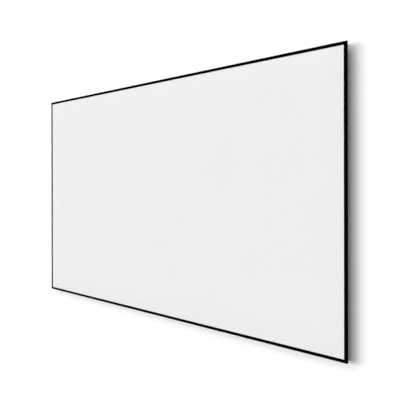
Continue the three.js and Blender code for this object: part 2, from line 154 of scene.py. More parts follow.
SPRING_PITCH = 152 * MM
SIDE_SPRING_PITCH = 140 * MM
SPRING_DIAMETER = 4.8 * MM
SPRING_WIRE = 1.0 * MM
SPRING_TURNS = 9
SPRING_NECK = 2.4 * MM
HOOK_START = math.radians(205)
HOOK_END = math.radians(80)
HOOK_GAP = 0.1 * MM
HOOK_STEPS = 12
TIP_BEND = 1.2 * MM
TIP_LENGTH = 2.4 * MM
TIP_STEPS = 6
TURN_STEPS = 16
COIL_TRIM = 2
JOIN_STEPS = 8
JOIN_REACH = 3.6 * MM
COIL_FROM_RAIL = 2.4 * MM
WIRE_SIDES = 8
HEM_NOTCH = 7 * MM

# Socket head screws

SCREW_HEAD = 3.5 * MM
SCREW_HEAD_HEIGHT = 2.2 * MM
SCREW_SHANK = 2.0 * MM
SCREW_SOCKET = 2.5 * MM
SCREW_SOCKET_DEPTH = 1.2 * MM
SCREW_CHAMFER = 0.3 * MM
HEAD_CHAMFER = 0.15 * MM
HEAD_EDGE = 0.6 * MM
HEAD_STEPS = 4
SOCKET_CHAMFER = 0.15 * MM
SOCKET_POINT = 0.4 * MM
SCREW_SIDES = 24
HEXAGON_SIXTH = math.pi / 3
PLATE_SCREW_LENGTH = 5 * MM
CLIP_SCREW_LENGTH = 7 * MM

# Rounded edges of the other rigid pieces, as a width and a number of steps
FRAME_EDGE = (0.35 * MM, 2)
SUPPORT_EDGE = (0.6 * MM, 3)
CLIP_EDGE = (0.4 * MM, 3)
BRACKET_EDGE = (0.5 * MM, 3)
PLATE_EDGE = (0.4 * MM, 2)

# The four sides, each turned about Y from the top one
LEVEL_SIDE = {"length": WIDTH, "reach": HEIGHT / 2, "pitch": SPRING_PITCH}
UPRIGHT_SIDE = {"length": HEIGHT, "reach": WIDTH / 2, "pitch": SIDE_SPRING_PITCH}
SIDES = {
    "top": {"turn": 0.0, **LEVEL_SIDE},
    "right": {"turn": math.pi / 2, **UPRIGHT_SIDE},
    "bottom": {"turn": math.pi, **LEVEL_SIDE},
    "left": {"turn": -math.pi / 2, **UPRIGHT_SIDE},
}
LEVEL_NAMES = ("top", "bottom")


def side_matrix(side):
    """The place of a side: its middle on the frame's outer edge, and its turn."""
    turn, reach = side["turn"], side["reach"]
    place = Vector((reach * math.sin(turn), FRONT_Y, MIDDLE_Z + reach * math.cos(turn)))
    return Matrix.Translation(place) @ Matrix.Rotation(turn, 4, "Y")


def spring_places(side):
    """Places of a side's springs along it, a pitch apart and the same on both halves."""
    room = side["length"] / 2 - FLAP_CUTBACK - HEM_NOTCH
    count = math.floor(room / side["pitch"] + 0.5)
    halves = [(i + 0.5) * side["pitch"] for i in range(count)]
    return sorted([-x for x in halves] + halves)


# Each bezel bar's side, and the half of it that the bar runs along, or 0 for all of it
BEZEL_BARS = {
    "bezel_top_left": ("top", -1),
    "bezel_top_right": ("top", 1),
    "bezel_right": ("right", 0),
    "bezel_bottom_right": ("bottom", -1),
    "bezel_bottom_left": ("bottom", 1),
    "bezel_left": ("left", 0),
}


# Materials

# Ribs in one unit of a wave texture at scale 1
WAVES_PER_UNIT = 20 / (2 * math.pi)

# Sockets of a mix node that mixes colours, whose names other sockets share
MIX_FACTOR = 0
MIX_FIRST = 6
MIX_SECOND = 7
MIX_RESULT = 2


def new_material(name, color, roughness, metallic=0.0, specular=0.5):
    """A material with its uniform values on the shader's own sockets."""
    material = bpy.data.materials.new(name)
    material.use_nodes = True
    shader = material.node_tree.nodes["Principled BSDF"]
    shader.inputs["Base Color"].default_value = (*color, 1.0)
    shader.inputs["Roughness"].default_value = roughness
    shader.inputs["Metallic"].default_value = metallic
    shader.inputs["Specular IOR Level"].default_value = specular
    material.diffuse_color = (*color, 1.0)
    return material


def color_mix(tree, factor, first, second):
    """A colour between two."""
    made = tree.nodes.new("ShaderNodeMix")
    made.data_type = "RGBA"
    tree.links.new(factor, made.inputs[MIX_FACTOR])
    made.inputs[MIX_FIRST].default_value = (*first, 1.0)
    made.inputs[MIX_SECOND].default_value = (*second, 1.0)
    return made.outputs[MIX_RESULT]


def combined(tree, operation, first, second):
    """Two values joined by a maths node."""
    made = tree.nodes.new("ShaderNodeMath")
    made.operation = operation
    tree.links.new(first, made.inputs[0])
    tree.links.new(second, made.inputs[1])
    return made.outputs["Value"]


class Graph:
    """Short calls for wiring one material's nodes. Scales are in features per metre."""

    def __init__(self, material):
        self.tree = material.node_tree
        self.shader = self.tree.nodes["Principled BSDF"]
        self.place = self.node("ShaderNodeTexCoord").outputs["Object"]

    def node(self, kind, **settings):
        made = self.tree.nodes.new(kind)
        for key, value in settings.items():
            setattr(made, key, value)
        return made

    def link(self, start, end):
        self.tree.links.new(start, end)

    def stretched(self, scale):
        """Object coordinates, scaled differently along each axis."""
        mapping = self.node("ShaderNodeMapping")
        mapping.inputs["Scale"].default_value = scale
        self.link(self.place, mapping.inputs["Vector"])
        return mapping.outputs["Vector"]

    def noise(self, scale, detail=2.0, rough=0.5, vector=None):
        made = self.node("ShaderNodeTexNoise")
        made.inputs["Scale"].default_value = scale
        made.inputs["Detail"].default_value = detail
        made.inputs["Roughness"].default_value = rough
        self.link(vector or self.place, made.inputs["Vector"])
        return made.outputs["Fac"]

    def cells(self, scale):
        made = self.node("ShaderNodeTexVoronoi")
        made.inputs["Scale"].default_value = scale
        self.link(self.place, made.inputs["Vector"])
        return made.outputs["Distance"]

    def threads(self, per_metre, axis):
        """Fine parallel ribs across one axis."""
        made = self.node("ShaderNodeTexWave", wave_type="BANDS", bands_direction=axis)
        made.inputs["Scale"].default_value = per_metre / WAVES_PER_UNIT
        made.inputs["Distortion"].default_value = 0.0
        self.link(self.place, made.inputs["Vector"])
        return made.outputs["Fac"]

    def product(self, first, second):
        return combined(self.tree, "MULTIPLY", first, second)

    def total(self, first, second):
        return combined(self.tree, "ADD", first, second)

    def spread(self, value, low, high, from_low=0.3, from_high=0.7):
        """A texture's value mapped from its usual spread to a range."""
        made = self.node("ShaderNodeMapRange")
        made.inputs["From Min"].default_value = from_low
        made.inputs["From Max"].default_value = from_high
        made.inputs["To Min"].default_value = low
        made.inputs["To Max"].default_value = high
        self.link(value, made.inputs["Value"])
        return made.outputs["Result"]

    def color(self, factor, first, second):
        mixed = color_mix(self.tree, factor, first, second)
        self.link(mixed, self.shader.inputs["Base Color"])

    def roughness(self, value):
        self.link(value, self.shader.inputs["Roughness"])

    def bump(self, height, distance, strength):
        made = self.node("ShaderNodeBump")
        made.inputs["Strength"].default_value = strength
        made.inputs["Distance"].default_value = distance
        self.link(height, made.inputs["Height"])
        self.link(made.outputs["Normal"], self.shader.inputs["Normal"])


def shade(color, factor):
    return tuple(channel * factor for channel in color)


FABRIC_WHITE = (0.871, 0.855, 0.863)
BACKING = (0.030, 0.030, 0.032)
BEZEL_BLACK = (0.0012, 0.0012, 0.0013)
FRAME_BLACK = (0.018, 0.018, 0.021)
ZINC = (0.62, 0.63, 0.65)
ZINC_CLOUD = (0.68, 0.68, 0.66)
SPRING_STEEL = (0.50, 0.50, 0.51)
FIBREGLASS = (0.78, 0.74, 0.62)
RESIN = (0.60, 0.55, 0.42)
GLASS_STRAND = (0.86, 0.83, 0.72)
SCREW_BLACK = (0.028, 0.028, 0.030)
SCREW_WORN = (0.075, 0.075, 0.078)
BRACKET_BLACK = (0.024, 0.024, 0.026)
CLIP_BLACK = (0.020, 0.020, 0.020)


def screen_surface():
    """Matte projection vinyl: a calendered sheet with a very fine pebble and no gloss."""
    material = new_material("screen_surface", FABRIC_WHITE, roughness=0.92, specular=0.25)
    graph = Graph(material)
    cloud = graph.spread(graph.noise(scale=3.0, detail=3.0), low=0.0, high=1.0)
    graph.color(cloud, shade(FABRIC_WHITE, 0.994), shade(FABRIC_WHITE, 1.004))
    pebble = graph.product(graph.cells(scale=1900.0), graph.noise(scale=700.0))
    graph.roughness(graph.spread(pebble, low=0.84, high=0.97, from_low=0.0, from_high=0.5))
    graph.bump(pebble, distance=0.20 * MM, strength=0.7)
    return material


def screen_backing():
    """Black-out coating over the sheet's woven scrim, whose threads show through it."""
    material = new_material("screen_backing", BACKING, roughness=0.75, specular=0.3)
    graph = Graph(material)
    upright = graph.threads(per_metre=760.0, axis="X")
    level = graph.threads(per_metre=760.0, axis="Z")
    weave = graph.product(upright, level)
    patches = graph.spread(graph.noise(scale=90.0, detail=4.0), low=-0.2, high=0.2)
    worn = graph.total(weave, patches)
    tone = graph.spread(worn, low=0.0, high=1.0, from_low=0.0, from_high=0.8)
    graph.color(tone, shade(BACKING, 0.78), shade(BACKING, 1.3))
    graph.roughness(graph.spread(weave, low=0.82, high=0.66, from_low=0.0, from_high=1.0))
    graph.bump(weave, distance=0.16 * MM, strength=0.8)
    return material


def bezel_flock():
    """Deep black flocked trim, so matte that it throws nothing back."""
    material = new_material("bezel_flock", BEZEL_BLACK, roughness=0.95, specular=0.01)
    graph = Graph(material)
    pile = graph.noise(scale=3200.0, detail=3.0, rough=0.7)
    brushed = graph.spread(graph.noise(scale=26.0, detail=3.0), low=0.0, high=1.0)
    graph.color(brushed, shade(BEZEL_BLACK, 0.7), shade(BEZEL_BLACK, 1.35))
    graph.roughness(graph.spread(pile, low=0.88, high=1.0))
    graph.bump(pile, distance=0.12 * MM, strength=0.7)
    return material


def along_bar(fine, slow, along):
    """Scales that are slow along a bar, which lies along x or z, and fine across it."""
    return (slow, fine, fine) if along == "x" else (fine, fine, slow)


def frame_metal(name, along):
    """Black anodised aluminium: die lines run along the bar."""
    material = new_material(name, FRAME_BLACK, roughness=0.42, metallic=0.35, specular=0.5)
    graph = Graph(material)
    place = graph.stretched(along_bar(fine=2600.0, slow=3.0, along=along))
    lines = graph.noise(scale=1.0, detail=3.0, rough=0.6, vector=place)
    haze = graph.spread(graph.noise(scale=14.0, detail=3.0), low=0.0, high=1.0)
    graph.color(haze, shade(FRAME_BLACK, 0.8), shade(FRAME_BLACK, 1.25))
    graph.roughness(graph.spread(lines, low=0.34, high=0.52))
    graph.bump(lines, distance=0.02 * MM, strength=0.5)
    return material


def zinc_plate():
    """Bright zinc plating, with a faint cloudy passivation."""
    material = new_material("zinc_plate", ZINC, roughness=0.36, metallic=1.0)
    graph = Graph(material)
    cloud = graph.spread(graph.noise(scale=85.0, detail=4.0), low=0.0, high=1.0)
    graph.color(cloud, shade(ZINC, 0.86), ZINC_CLOUD)
    graph.roughness(graph.spread(graph.noise(scale=420.0), low=0.28, high=0.46))
    graph.bump(graph.noise(scale=1600.0), distance=0.02 * MM, strength=0.4)
    return material


def spring_steel():
    """Drawn spring wire, zinc plated."""
    material = new_material("spring_steel", SPRING_STEEL, roughness=0.30, metallic=1.0)
    graph = Graph(material)
    spot = graph.spread(graph.noise(scale=900.0, detail=3.0), low=0.0, high=1.0)
    graph.color(spot, shade(SPRING_STEEL, 0.8), shade(SPRING_STEEL, 1.15))
    graph.roughness(graph.spread(graph.noise(scale=2400.0), low=0.24, high=0.40))
    return material


def fibreglass(name, along):
    """Drawn fibreglass rod: pale resin over glass strands that run its length."""
    material = new_material(name, FIBREGLASS, roughness=0.42, specular=0.5)
    graph = Graph(material)
    place = graph.stretched(along_bar(fine=1500.0, slow=6.0, along=along))
    strands = graph.noise(scale=1.0, detail=4.0, rough=0.65, vector=place)
    graph.color(graph.spread(strands, low=0.0, high=1.0), RESIN, GLASS_STRAND)
    graph.roughness(graph.spread(strands, low=0.34, high=0.55))
    graph.bump(strands, distance=0.03 * MM, strength=0.5)
    return material


def screw_oxide():
    """Black oxide on steel, a little worn to grey."""
    material = new_material("screw_oxide", SCREW_BLACK, roughness=0.38, metallic=0.6)
    graph = Graph(material)
    spots = graph.noise(scale=650.0, detail=3.0)
    worn = graph.spread(spots, low=0.0, high=1.0, from_low=0.45, from_high=0.75)
    graph.color(worn, SCREW_BLACK, SCREW_WORN)
    graph.roughness(graph.spread(graph.noise(scale=1500.0), low=0.30, high=0.48))
    graph.bump(graph.noise(scale=2200.0), distance=0.02 * MM, strength=0.4)
    return material


def bracket_coat():
    """Black powder coat with its orange peel."""
    material = new_material("bracket_coat", BRACKET_BLACK, roughness=0.48, specular=0.5)
    graph = Graph(material)
    cloud = graph.spread(graph.noise(scale=40.0), low=0.0, high=1.0)
    graph.color(cloud, shade(BRACKET_BLACK, 0.85), shade(BRACKET_BLACK, 1.2))
    graph.roughness(graph.spread(graph.noise(scale=1800.0), low=0.42, high=0.56))
    graph.bump(graph.noise(scale=520.0, detail=1.0), distance=0.10 * MM, strength=0.5)
    return material


def clip_plastic():
    """Moulded black plastic with a spark-eroded grain."""
    material = new_material("clip_plastic", CLIP_BLACK, roughness=0.55, specular=0.4)
    graph = Graph(material)
    cloud = graph.spread(graph.noise(scale=60.0), low=0.0, high=1.0)
    graph.color(cloud, shade(CLIP_BLACK, 0.85), shade(CLIP_BLACK, 1.25))
    graph.roughness(graph.spread(graph.noise(scale=900.0), low=0.48, high=0.64))
    grain = graph.total(graph.cells(scale=1300.0), graph.noise(scale=2600.0))
    graph.bump(grain, distance=0.05 * MM, strength=0.5)
    return material


SURFACE = screen_surface()
BACK = screen_backing()
FLOCK = bezel_flock()
METAL_X = frame_metal("frame_metal_level", "x")
METAL_Z = frame_metal("frame_metal_upright", "z")
PLATED = zinc_plate()
SPRING = spring_steel()
GLASS_X = fibreglass("fibreglass_level", "x")
GLASS_Z = fibreglass("fibreglass_upright", "z")
OXIDE = screw_oxide()
COAT = bracket_coat()
PLASTIC = clip_plastic()


# Pieces

# Vertices nearer than this are one
MERGE = 0.01 * MM

# The sharpest bend that still looks round, on most pieces, on thin folds and wire, and on screws
SMOOTH_ANGLE = math.radians(40)
FOLD_ANGLE = math.radians(60)
SCREW_ANGLE = math.radians(35)


def add_piece(name, mesh, node, place=None):
    """A piece that rides on the frame and stands for the node."""
    piece = bpy.data.objects.new(name, mesh)
    if place is not None:
        piece.matrix_world = place
    bpy.context.scene.collection.objects.link(piece)
    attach(piece, BODY)
    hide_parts(node)
    return piece


def to_mesh(name, bm, angle, *materials):
    """A mesh of smooth faces, with edges over the angle left sharp."""
    mesh = bpy.data.meshes.new(name)
    bm.to_mesh(mesh)
    bm.free()
    mesh.polygons.foreach_set("use_smooth", [True] * len(mesh.polygons))
    mesh.set_sharp_from_angle(angle=angle)
    for material in materials:
        mesh.materials.append(material)
    return mesh


def even_normals(piece):
    """Keeps the broad faces flat beside their rounded edges."""
    modifier = piece.modifiers.new("even normals", "WEIGHTED_NORMAL")
    modifier.keep_sharp = True


# Rigid pieces with rounded edges

# Faces that meet within FLAT are joined, and edges over SHARP are rounded
SHARP = math.radians(35)
FLAT = math.radians(0.5)


def add_softened(node, edge, material):
    """A CAD piece with its facets joined and its edges rounded."""
    width, segments = edge
    bm = bmesh.new()
    bm.from_mesh(frame["nodes"][node].data)
    bmesh.ops.remove_doubles(bm, verts=bm.verts, dist=MERGE)
    bmesh.ops.dissolve_limit(bm, angle_limit=FLAT, verts=bm.verts, edges=bm.edges)
    edges = [edge for edge in bm.edges if edge.calc_face_angle(0.0) > SHARP]
    bmesh.ops.bevel(
        bm,
        geom=edges,
        offset=width,
        offset_type="OFFSET",
        segments=segments,
        profile=0.5,
        affect="EDGES",
        clamp_overlap=True,
    )
    mesh = to_mesh(f"{node}_finished", bm, SMOOTH_ANGLE, material)
    even_normals(add_piece(f"{node}_finished", mesh, node))


def add_rigid_pieces():
    for node in sorted(frame["nodes"]):
        if node.startswith("subframe_"):
            level = any(name in node for name in LEVEL_NAMES)
            add_softened(node, FRAME_EDGE, METAL_X if level else METAL_Z)
        elif node == "centre_support_bar":
            add_softened(node, SUPPORT_EDGE, METAL_Z)
        elif node.startswith("support_clip_"):
            add_softened(node, CLIP_EDGE, PLASTIC)
        elif "_wall_bracket_" in node:
            add_softened(node, BRACKET_EDGE, COAT)
        elif node.startswith(("corner_bracket_", "splice_bar_")):
            add_softened(node, PLATE_EDGE, PLATED)


# Sections with round bends

def bend(before, corner, after, radius):
    """Points of a round bend that replaces a corner of a section."""
    into = (corner - before).normalized()
    out = (after - corner).normalized()
    turn = into.angle(out)
    setback = radius * math.tan(turn / 2)
    side = math.copysign(1.0, into.x * out.y - into.y * out.x)
    start = corner - into * setback
    centre = start + side * radius * Vector((-into.y, into.x))
    spoke = start - centre
    return [
        centre + Matrix.Rotation(side * turn * step / BEND_STEPS, 2) @ spoke
        for step in range(BEND_STEPS + 1)
    ]


def slope_u(v, outward):
    """Where the frame's sloped side is, or a line at a distance out from it."""
    return NOSE_U + (v - NOSE_END_V) * SLOPE - outward * math.hypot(1, SLOPE)


# Bezel

def bezel_section():
    """The channel, from its outer front edge round to the return that grips the fabric."""
    return_v = BEZEL_DEPTH - BEZEL_RETURN
    clear = 2 * FABRIC_GAP + FABRIC
    corners = [
        (0.0, 0.0, BEZEL_OUTER_EDGE),
        (BEZEL_FACE, 0.0, BEZEL_EDGE),
        (BEZEL_FACE, BEZEL_LIP, BEZEL_EDGE),
        (BEZEL_WALL, BEZEL_LIP, BEZEL_INNER_EDGE),
        (BEZEL_WALL, return_v, BEZEL_INNER_EDGE),
        (slope_u(return_v, clear), return_v, BEZEL_INNER_EDGE),
        (slope_u(BEZEL_DEPTH, clear), BEZEL_DEPTH, BEZEL_EDGE),
        (0.0, BEZEL_DEPTH, BEZEL_EDGE),
    ]
    places = [Vector((u, v)) for u, v, _ in corners]
    section = []
    for i, (_, _, radius) in enumerate(corners):
        section += bend(places[i - 1], places[i], places[(i + 1) % len(places)], radius)
    return section


def bezel_end(side, half, end, u):
    """Where one end of a bezel bar is along its side: in the middle, or on the mitre."""
    if half == -end:
        return half * BEZEL_SEAM / 2
    return end * (side["length"] / 2 - u - BEZEL_SEAM * math.sqrt(0.5))


def add_bezel(node, side, half):
    matrix = side_matrix(side)
    bm = bmesh.new()
    near, far = (
        [
            bm.verts.new(matrix @ Vector((bezel_end(side, half, end, place.x), place.y, -place.x)))
            for place in bezel_section()
        ]
        for end in (-1, 1)
    )
    for i in range(len(near)):
        j = (i + 1) % len(near)
        bm.faces.new((near[i], near[j], far[j], far[i]))
    bm.faces.new(near)
    bm.faces.new(far)
    bmesh.ops.recalc_face_normals(bm, faces=bm.faces)
    mesh = to_mesh(f"{node}_finished", bm, SMOOTH_ANGLE, FLOCK)
    even_normals(add_piece(f"{node}_finished", mesh, node))


def add_bezels():
    for node, (name, half) in BEZEL_BARS.items():
        add_bezel(node, SIDES[name], half)


# Fabric

def flap_corners():
    """Corners of the fabric's outer face in u and v, over the nose and down the slope."""
    out = FABRIC_GAP + FABRIC
    rear = REAR_V + out
    return {
        "front": Vector((SLOPE_END_U, FABRIC_V)),
        "nose": Vector((FABRIC_U, FABRIC_V)),
        "slope": Vector((FABRIC_U, NOSE_END_V + (FABRIC_U - slope_u(NOSE_END_V, out)) / SLOPE)),
        "rear": Vector((slope_u(rear, out), rear)),
        "hem": Vector((ROD_U, rear)),
    }


def mitred_section():
    """The stretch of the section that runs into the corners: nose, edge and slope. After it,
    the rest of the bend behind the slope, which ends short of them."""
    at = flap_corners()
    nose = bend(at["front"], at["nose"], at["slope"], NOSE_BEND)
    slope = bend(at["nose"], at["slope"], at["rear"], SLOPE_BEND)
    rear = bend(at["slope"], at["rear"], at["hem"], REAR_BEND)
    return nose + slope + rear[:1], rear[1:]


def rear_section(bend_points):
    """The stretch that ends short of the corners: the rest of the bend, the flap behind the
    frame and the weld's place on it."""
    at = flap_corners()
    weld = [Vector((ROD_U - back, at["hem"].y)) for back in (WELD_END, WELD_START)]
    return bend_points + weld + [at["hem"]]


def hem_section():
    """The hem: round the rod, then down to its weld on the flap."""
    centre = Vector((ROD_U, ROD_V))
    lift = Vector((ROD_U - WELD_START, flap_corners()["hem"].y + WELD_GAP))
    aim = math.atan2(HEM_INNER, WELD_START)
    last = math.pi + 2 * aim
    steps = math.ceil(last / HEM_STEP)
    loop = [
        centre + HEM_INNER * Vector((math.sin(angle), -math.cos(angle)))
        for angle in (last * step / steps for step in range(1, steps + 1))
    ]
    tail_end = Vector((ROD_U - WELD_END, lift.y))
    return loop, bend(loop[-1], lift, tail_end, WELD_BEND) + [tail_end]


def flat_size():
    """The sheet's flat width and height: the front between its bends, and on each side the
    length of the section from there to the hem's end."""
    mitred, bend_points = mitred_section()
    loop, tail = hem_section()
    points = [*mitred, *rear_section(bend_points), *loop, *tail]
    flap = sum((b - a).length for a, b in zip(points, points[1:]))
    inset = mitred[0].x
    return WIDTH + 2 * (flap - inset), HEIGHT + 2 * (flap - inset)


def side_columns(side):
    """Places along a side where the fabric has a row of vertices: its cut ends, its notches
    and a spread of places between."""
    half = side["length"] / 2 - FLAP_CUTBACK
    cuts = [-half, half]
    for x in spring_places(side):
        cuts += [x - HEM_NOTCH / 2, x + HEM_NOTCH / 2]
    cuts.sort()
    columns = []
    for start, end in zip(cuts, cuts[1:]):
        count = max(1, round((end - start) / CELL))
        columns += [start + (end - start) * step / count for step in range(count)]
    return columns + [half]


def in_notch(side, x):
    return any(abs(x - place) < HEM_NOTCH / 2 for place in spring_places(side))


def add_strip(bm, matrix, rows, skip=None):
    """Faces between rows, each given as its places along the side and its section point."""
    made = [
        [bm.verts.new(matrix @ Vector((x, place.y, -place.x))) for x in columns]
        for columns, place in rows
    ]
    for near, far in zip(made, made[1:]):
        for i in range(len(near) - 1):
            if skip is None or not skip(i):
                bm.faces.new((near[i], near[i + 1], far[i + 1], far[i]))


def add_flap(bm, side):
    """One side's flap, from the front edge to the hem's weld."""
    matrix = side_matrix(side)
    columns = side_columns(side)
    mitred, bend_points = mitred_section()
    flap = rear_section(bend_points)
    loop, tail = hem_section()

    def full(place):
        end = side["length"] / 2 - place.x
        return [-end, *columns, end]

    def notched(i):
        return in_notch(side, (columns[i] + columns[i + 1]) / 2)

    add_strip(bm, matrix, [(full(place), place) for place in mitred])
    add_strip(bm, matrix, [(columns, place) for place in [mitred[-1], *flap]])
    add_strip(bm, matrix, [(columns, place) for place in [flap[-1], *loop, *tail]], notched)


def add_front(bm):
    """The taut sheet that faces the room, in cells that meet the flaps' columns."""
    edge = mitred_section()[0][0]
    across = [-(WIDTH / 2 - edge.x), *side_columns(SIDES["top"]), WIDTH / 2 - edge.x]
    upward = [-(HEIGHT / 2 - edge.x), *side_columns(SIDES["left"]), HEIGHT / 2 - edge.x]
    y = FRONT_Y + edge.y
    grid = [[bm.verts.new((x, y, MIDDLE_Z + z)) for x in across] for z in upward]
    for low, high in zip(grid, grid[1:]):
        for i in range(len(across) - 1):
            bm.faces.new((low[i], low[i + 1], high[i + 1], high[i]))


def outer_face():
    """The fabric's outer face, merged into one sheet with its front towards the room."""
    bm = bmesh.new()
    add_front(bm)
    for side in SIDES.values():
        add_flap(bm, side)
    bmesh.ops.remove_doubles(bm, verts=bm.verts, dist=MERGE)
    bmesh.ops.recalc_face_normals(bm, faces=bm.faces)
    front = max(bm.faces, key=lambda face: face.calc_area())
    if front.normal.y > 0:
        bmesh.ops.reverse_faces(bm, faces=bm.faces)
    return bm


def add_fabric():
    bm = outer_face()
    flat_area = sum(face.calc_area() for face in bm.faces)
    mesh = to_mesh("screen_sheet", bm, FOLD_ANGLE, SURFACE, BACK)
    piece = add_piece("screen_sheet", mesh, "screen_fabric")
    thickness = piece.modifiers.new("thickness", "SOLIDIFY")
    thickness.thickness = FABRIC
    thickness.offset = -1.0
    thickness.use_even_offset = True
    thickness.material_offset = 1
    thickness.material_offset_rim = 1
    flat_size()


# Round tubes

# A tube's size at its very ends, as a share of its radius
TUBE_TIP = 0.75


def tube(bm, path, radius, sides):
    """A round tube along a path, with closed and slightly rounded ends."""
    tangents = []
    for i in range(len(path)):
        before, after = path[max(i - 1, 0)], path[min(i + 1, len(path) - 1)]
        tangents.append((after - before).normalized())
    across = tangents[0].orthogonal().normalized()
    rings = []
    for i, (place, tangent) in enumerate(zip(path, tangents)):
        across = (across - tangent * across.dot(tangent)).normalized()
        up = tangent.cross(across)
        size = radius * (TUBE_TIP if i in (0, len(path) - 1) else 1.0)
        ring = []
        for step in range(sides):
            angle = 2 * math.pi * step / sides
            offset = across * math.cos(angle) + up * math.sin(angle)
            ring.append(bm.verts.new(place + offset * size))
        rings.append(ring)
    for near, far in zip(rings, rings[1:]):
        for i in range(sides):
            j = (i + 1) % sides
            bm.faces.new((near[i], near[j], far[j], far[i]))
    bm.faces.new(rings[0])
    bm.faces.new(rings[-1])


def along_side(matrix, x, points):
    """Points given as u, v and the offset along a side from x, as places in the frame."""
    return [matrix @ Vector((x + offset, v, -u)) for u, v, offset in points]


# Tension rods

ROD_SIDES = 24
ROD_CHAMFER = 0.3 * MM


def add_rod(name, side, material):
    half = side["length"] / 2 - FLAP_CUTBACK + ROD_PROUD
    places = [-half, -half + ROD_CHAMFER, half - ROD_CHAMFER, half]
    matrix = side_matrix(side)
    bm = bmesh.new()
    path = [matrix @ Vector((x, ROD_V, -ROD_U)) for x in places]
    tube(bm, path, ROD_RADIUS, ROD_SIDES)
    bmesh.ops.recalc_face_normals(bm, faces=bm.faces)
    mesh = to_mesh(f"rod_{name}", bm, SMOOTH_ANGLE, material)
    add_piece(f"rod_{name}", mesh, f"tension_rod_{name}")


# Springs

def arc(centre, radius, start, end, steps):
    """Points (u, v) on a circle, with angles from the direction of u towards v."""
    for step in range(steps + 1):
        angle = start + (end - start) * step / steps
        yield centre[0] + radius * math.cos(angle), centre[1] + radius * math.sin(angle)


def joined(before, after):
    """Two stretches of wire, with a smooth bend between them."""
    start, end = Vector(before[-1]), Vector(after[0])
    leave = (start - Vector(before[-2])).normalized() * JOIN_REACH
    arrive = (Vector(after[1]) - end).normalized() * JOIN_REACH
    between = []
    for step in range(1, JOIN_STEPS):
        t = step / JOIN_STEPS
        ends = start.lerp(end, t * t * (3 - 2 * t))
        between.append(tuple(ends + t * (1 - t) * ((1 - t) * leave - t * arrive)))
    return before + between + after


def spring_points():
    """One wire: a hook over the rod, the coil, and a hook over the rail's lip. Each point is
    u, v and the offset along the side."""
    coil_radius = (SPRING_DIAMETER - SPRING_WIRE) / 2
    hook_radius = ROD_RADIUS + SPRING_WIRE / 2 + HOOK_GAP
    coil_start = ROD_U + HEM_INNER + FABRIC + SPRING_NECK
    coil_end = RAIL_U - COIL_FROM_RAIL
    around_rod = arc((ROD_U, ROD_V), hook_radius, HOOK_START, HOOK_END, HOOK_STEPS)
    hook = [(u, v, 0.0) for u, v in around_rod]
    coil = []
    steps = SPRING_TURNS * TURN_STEPS
    for step in range(COIL_TRIM, steps - COIL_TRIM + 1):
        angle = 2 * math.pi * step / TURN_STEPS
        u = coil_start + (coil_end - coil_start) * step / steps
        coil.append((u, ROD_V + coil_radius * math.cos(angle), coil_radius * math.sin(angle)))
    over = max(ROD_V + coil_radius, RAIL_V + CLEARANCE + SPRING_WIRE / 2)
    tip_u = RAIL_END_U + CLEARANCE + SPRING_WIRE / 2
    centre = (tip_u - TIP_BEND, over - TIP_BEND)
    turn = [(u, v, 0.0) for u, v in arc(centre, TIP_BEND, math.pi / 2, 0.0, TIP_STEPS)]
    straight = [(RAIL_U + SPRING_WIRE / 2, over, 0.0)]
    tip = [(tip_u, RAIL_V - TIP_LENGTH, 0.0)]
    return joined(joined(hook, coil), straight + turn + tip)


def add_springs(name, side):
    bm = bmesh.new()
    matrix = side_matrix(side)
    for x in spring_places(side):
        tube(bm, along_side(matrix, x, spring_points()), SPRING_WIRE / 2, WIRE_SIDES)
    bmesh.ops.recalc_face_normals(bm, faces=bm.faces)
    mesh = to_mesh(f"springs_{name}", bm, FOLD_ANGLE, SPRING)
    add_piece(f"springs_{name}", mesh, f"tension_rod_{name}")


def add_rods_and_springs():
    for name, side in SIDES.items():
        add_rod(name, side, GLASS_X if name in LEVEL_NAMES else GLASS_Z)
        add_springs(name, side)


# Screws

def round_ring(bm, radius, height):
    ring = []
    for step in range(SCREW_SIDES):
        angle = 2 * math.pi * step / SCREW_SIDES
        ring.append(bm.verts.new((radius * math.cos(angle), height, radius * math.sin(angle))))
    return ring


def hexagon_ring(bm, inner, height):
    """A ring of points on a hexagon, which is given by its half width."""
    ring = []
    for step in range(SCREW_SIDES):
        angle = 2 * math.pi * step / SCREW_SIDES
        nearest = round(angle / HEXAGON_SIXTH) * HEXAGON_SIXTH
        reach = inner / math.cos(angle - nearest)
        ring.append(bm.verts.new((reach * math.cos(angle), height, reach * math.sin(angle))))
    return ring


